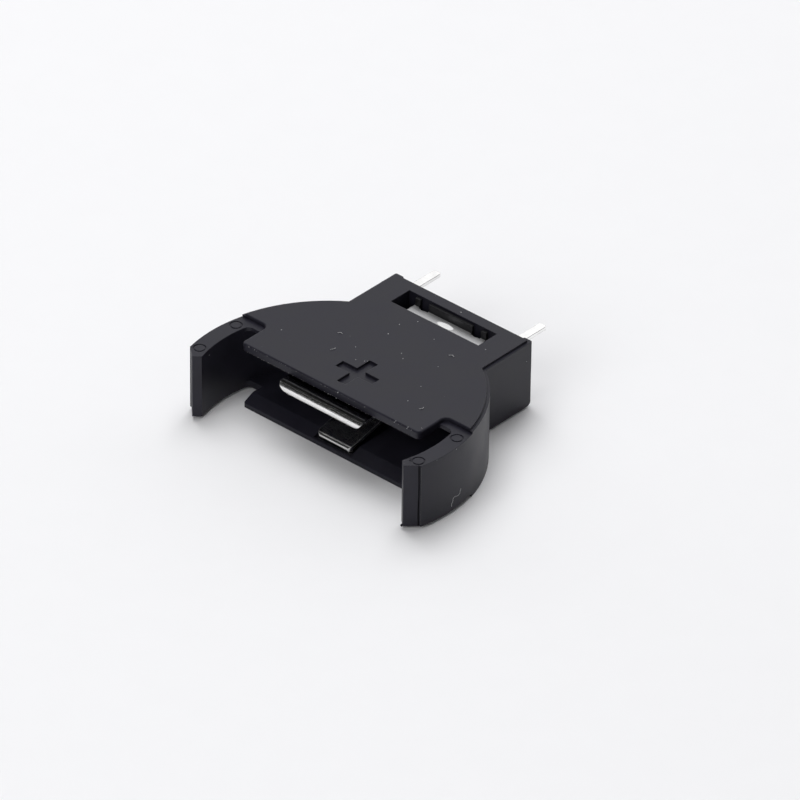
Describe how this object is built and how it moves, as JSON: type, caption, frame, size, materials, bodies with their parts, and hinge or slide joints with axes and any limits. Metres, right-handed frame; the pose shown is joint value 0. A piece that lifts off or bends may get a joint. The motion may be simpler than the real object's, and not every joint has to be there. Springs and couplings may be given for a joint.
{
  "type": "coin cell holder",
  "caption": "Black moulded holder for one round coin cell, with an open mouth between two gripping arms, plated spring contacts and two solder tails behind.",
  "frame": {"origin": "where the cell's axis meets the plane of the resting face", "axes": "+X across the holder, +Y from the open mouth to the solder tails, +Z through its thickness, towards the face with the engraved plus"},
  "size_m": [0.0228, 0.0207, 0.0057],
  "materials": {
    "black_moulding": "black glass-filled moulding, satin, with a faint grain and dust",
    "upper_plated_sheet": "bright plated spring sheet",
    "lower_plated_sheet": "bright plated spring sheet"
  },
  "bodies": {
    "root": {"housing": "black_moulding", "positive_contact": "upper_plated_sheet", "negative_contact": "lower_plated_sheet"}
  },
  "joints": []
}
